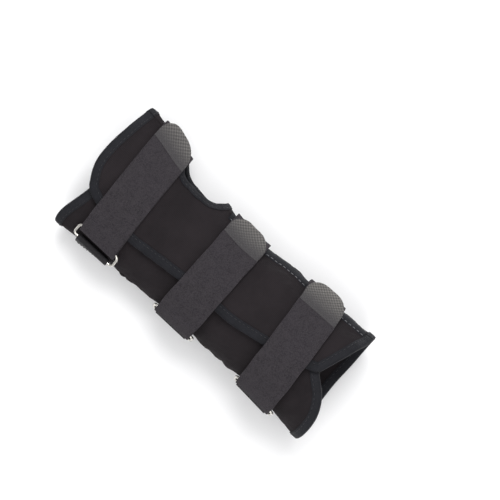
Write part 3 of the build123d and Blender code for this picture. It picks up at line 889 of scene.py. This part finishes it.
def make_tab(name):
    """Hook tab with rounded end corners, flaring away from the strap."""
    spec = STRAPS[name]
    across, lift = rounded_section(STRAP_W, TAB_T, 17).T
    angles = np.linspace(spec.tab_root, spec.tab_end + spec.tab_reach, 60)
    centre_line = skin(strap_x(spec, 0.0, angles), angles, return_height(spec, angles))
    run = path_length(centre_line)
    corner = 11.0
    rings, widths = [], []
    for a, length in zip(angles, run):
        over = max(length - (run[-1] - corner), 0)
        half = STRAP_W / 2 - corner + math.sqrt(max(corner ** 2 - over ** 2, 0))
        share = half / (STRAP_W / 2)
        widths.append(across * share)
        rings.append(skin(
            strap_x(spec, across * share, a), np.full(across.shape, a),
            return_height(spec, a) + TAB_FLARE * (length / run[-1]) ** 2 + lift + 0.05,
        ))
    rings = np.array(rings)
    uv = grid_uv(np.array(widths), run)
    tab = outward_faces(ring_mesh(f"{name}_tab", rings, uv, HOOK, False, 80))
    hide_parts(f"{name}_hook_tab")
    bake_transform(tab)


def make_box_stitches(name):
    """A box with one diagonal at the strap's sewn end."""
    spec = STRAPS[name]
    corners = [(-12, 229), (12, 229), (12, 206), (-12, 206), (-12, 229), (12, 206)]
    pieces_x, pieces_a = [], []
    for (xa, aa), (xb, ab) in zip(corners, corners[1:]):
        pieces_x.append(np.linspace(xa, xb, 30))
        pieces_a.append(np.linspace(aa, ab, 30))
    px, pa = np.concatenate(pieces_x), np.concatenate(pieces_a)
    line, normals = line_on(strap_x(spec, px, pa), pa, base_height(spec, pa) + STRAP_T)
    row = stitches(f"{name}_box_stitches", line, normals, "sleeve", THREAD, 2.4, 0.8, 0.26)


def make_keeper(name):
    spec = STRAPS[name]
    x = spec.ring_x
    _, outer, along, _, outer_angle = ring_frame(spec)
    around = skin(x, outer_angle - 0.5, RING_LEVEL) - skin(x, outer_angle + 0.5, RING_LEVEL)
    around /= np.linalg.norm(around)
    up = np.cross(along, around)
    if up @ (skin(x, outer_angle, RING_LEVEL + 1) - outer) < 0:
        up = -up
    # up the panel, round the ring's outer bar and back down: (distance below the bar, height)
    control = np.array([
        (15.5, 4.35), (9, 4.5), (5.2, 5.3), (2.4, 7.1), (0.6, 8.15), (-0.8, 7.95), (-1.62, 6.6),
        (-0.8, 5.2), (0.6, 4.95), (2.6, 4.55), (5.2, 3.95), (9, 3.45), (15.5, 3.3),
    ])
    rows = [(i, *point) for i, point in enumerate(control)]
    fine = np.linspace(0, len(control) - 1, 90)
    t, h = curve(rows, fine, 1), curve(rows, fine, 2)
    dt, dh = np.gradient(t), np.gradient(h)
    size = np.hypot(dt, dh)
    nt, nh = dh / size, -dt / size
    section = rounded_section(KEEPER_W, KEEPER_PLY, 13)
    scale = float(per_degree(x, outer_angle - 8))
    rings = []
    for i in range(len(fine)):
        rise = section[:, 1] - KEEPER_PLY / 2
        pt, ph = t[i] + nt[i] * rise, h[i] + nh[i] * rise
        local = outer + np.outer(section[:, 0] * MM, along) + np.outer(pt * MM, around)
        local = local + np.outer((ph - RING_LEVEL) * MM, up)
        on_skin = skin(x + section[:, 0], outer_angle - pt / scale, ph)
        weight = ease(pt, 1.5, 7.5)[:, None]
        rings.append(local * (1 - weight) + on_skin * weight)
    rings = np.array(rings)
    run = path_length(rings[:, 6])
    uv = grid_uv(section[:, 0], run)
    piece = outward_faces(ring_mesh(f"{name}_keeper_loop", rings, uv, WEBBING, False, 80))
    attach(piece, "sleeve")
    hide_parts(f"{name}_keeper")
    for number, drop in enumerate((5.6, 13.6)):
        px = np.linspace(-11.5, 11.5, 40)
        zigzag = 0.7 * np.sign(np.sin(np.arange(40) * 1.6))
        pa = outer_angle - (drop + zigzag) / scale
        height = np.interp(drop, [5.2, 9, 15.5], [5.3, 4.5, 4.35]) + KEEPER_PLY / 2
        line, normals = line_on(x + px, pa, height + 0.1)
        row = stitches(f"{name}_bartack_{number}", line, normals, "sleeve", THREAD, 1.3, 0.3, 0.25)


# ---------------------------------------------------------------- stay pocket
def make_pocket():
    low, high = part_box("stay_pocket")
    x0, x1 = low[0] / MM, high[0] / MM
    top = high[2] / MM
    half, wall = 16.2, 1.1
    flank = [(19.5, top), (16.9, top - 0.1), (half, top - 0.7), (half, 0.9), (15.3, 0.02), (14.0, 0.0)]
    outline = [(-y, z) for y, z in flank]
    outline += [(y, 0.0) for y in np.linspace(-11, 11, 9)]
    outline = np.array(outline + flank[::-1])
    lower = outline.copy()
    lower[[0, 1, -2, -1], 1] -= 0.75
    lower[[2, -3], 1] -= 0.35
    inner_side = outline.copy()
    y, z = outline.T
    inner_side[:, 0] = np.where(np.abs(y) < 16.5, y * (half - wall) / half, y)
    inner_side[:, 1] = np.where(z < 2.0, z + wall, z)
    x = np.linspace(x0, x1, 130)
    close = np.clip((x - (x1 - 4.2)) / 4.2, 0, 1)
    lift = (1 - np.sqrt(np.maximum(1 - close ** 2, 0)))[:, None]
    puff = 0.12 * waves(x[:, None], outline[None, :, 0], 77, 18)

    def place(profile, dent):
        y = np.broadcast_to(profile[None, :, 0], (len(x), len(profile)))
        z = profile[None, :, 1] + lift * (top - 0.4 - profile[None, :, 1])
        z = np.maximum(z + dent, 0.0)
        return np.stack([np.broadcast_to(x[:, None], y.shape), y, z], axis=-1) * MM

    outer = place(lower, np.where(lower[None, :, 1] > 0.5, puff, 0.0))
    inner = place(inner_side, 0.0)
    run = np.cumsum(np.concatenate([[0], np.linalg.norm(np.diff(outline, axis=0), axis=1)]))
    uv = np.stack(np.broadcast_arrays(x[:, None], run[None, :]), axis=-1)
    piece = outward_faces(sheet_piece("stay_pocket_cover", outer, inner, uv, KNIT))
    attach(piece, "sleeve")
    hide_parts("stay_pocket")
    for letter, side in (("l", -1), ("r", 1)):
        line = np.stack([x, np.full(x.shape, side * 18.2), np.full(x.shape, top - 0.75)], axis=-1)
        line = line[4:-4] * MM
        normals = np.tile([0.0, 0.0, -1.0], (len(line), 1))
        row = stitches(f"pocket_stitches_{letter}", line, normals, "sleeve", THREAD, 2.6, 0.9, 0.25)


# ---------------------------------------------------------------- metal parts stay as they are in CAD
def paint(node_name, material):
    bpy.data.objects[node_name].material_slots[0].material = material


make_panel()
make_flap()
make_tapes()
make_seam()
make_pocket()
for index, strap in enumerate(STRAPS):
    strap_seed = 40 + 10 * index
    make_sewn_layer(strap, strap_seed)
    make_return_layer(strap, strap_seed)
    make_tab(strap)
    make_box_stitches(strap)
    make_keeper(strap)
    paint(f"{strap}_ring", NICKEL)
paint("palmar_stay", ALUMINIUM)


# ---------------------------------------------------------------- floor, light and camera
def make_floor():
    mesh = bpy.data.meshes.new("floor")
    size = 3.0
    corners = [(-size, -size, 0), (size, -size, 0), (size, size, 0), (-size, size, 0)]
    mesh.from_pydata(corners, [], [(0, 1, 2, 3)])
    material, tree, shader = new_material("floor_pale", (0.86, 0.86, 0.87), 0.9)
    place = tree.nodes.new("ShaderNodeTexCoord").outputs["Object"]
    cloud = noise_of(tree, place, 3.0, 2.0)
    shade = mix_colour(tree, cloud, (0.85, 0.85, 0.86), (0.88, 0.88, 0.885))
    tree.links.new(shade, shader.inputs["Base Color"])
    mesh.materials.append(material)
    floor = bpy.data.objects.new("floor", mesh)
    bpy.context.scene.collection.objects.link(floor)
    floor.location.z = -0.0005


def area_light(name, place, target, size, power):
    data = bpy.data.lights.new(name, "AREA")
    data.shape = "DISK"
    data.size = size
    data.energy = power
    light = bpy.data.objects.new(name, data)
    light.location = place
    light.rotation_euler = (Vector(target) - Vector(place)).to_track_quat("-Z", "Y").to_euler()
    bpy.context.scene.collection.objects.link(light)


def make_world():
    world = bpy.data.worlds.new("studio")
    world.use_nodes = True
    background = world.node_tree.nodes["Background"]
    background.inputs["Color"].default_value = (1, 1, 1, 1)
    background.inputs["Strength"].default_value = 0.62
    bpy.context.scene.world = world
    bpy.context.scene.view_settings.view_transform = "Standard"


def make_camera():
    """Straight above the back of the hand, turned so that the fingers' end points up and left."""
    data = bpy.data.cameras.new("camera")
    camera = bpy.data.objects.new("camera", data)
    bpy.context.scene.collection.objects.link(camera)
    distance, wide = 1.5, 0.324
    data.sensor_width = 36
    data.lens = data.sensor_width * distance / wide
    right = Vector((-0.737, -0.676, 0)).normalized()
    up = Vector((0.676, -0.737, 0)).normalized()
    back = right.cross(up)
    target = Vector((-0.0051, -0.0271, 0.035))
    turn = Matrix((right, up, back)).transposed().to_4x4()
    camera.matrix_world = Matrix.Translation(target + back * distance) @ turn
    bpy.context.scene.camera = camera


make_floor()
area_light("key", (0.35, -0.75, 1.25), (0, 0, 0.03), 0.9, 15)
area_light("fill", (-0.6, 0.8, 1.1), (0, 0, 0.03), 1.2, 7.5)
area_light("top", (0.0, 0.0, 1.7), (0, 0, 0), 1.6, 7.5)
make_world()
make_camera()
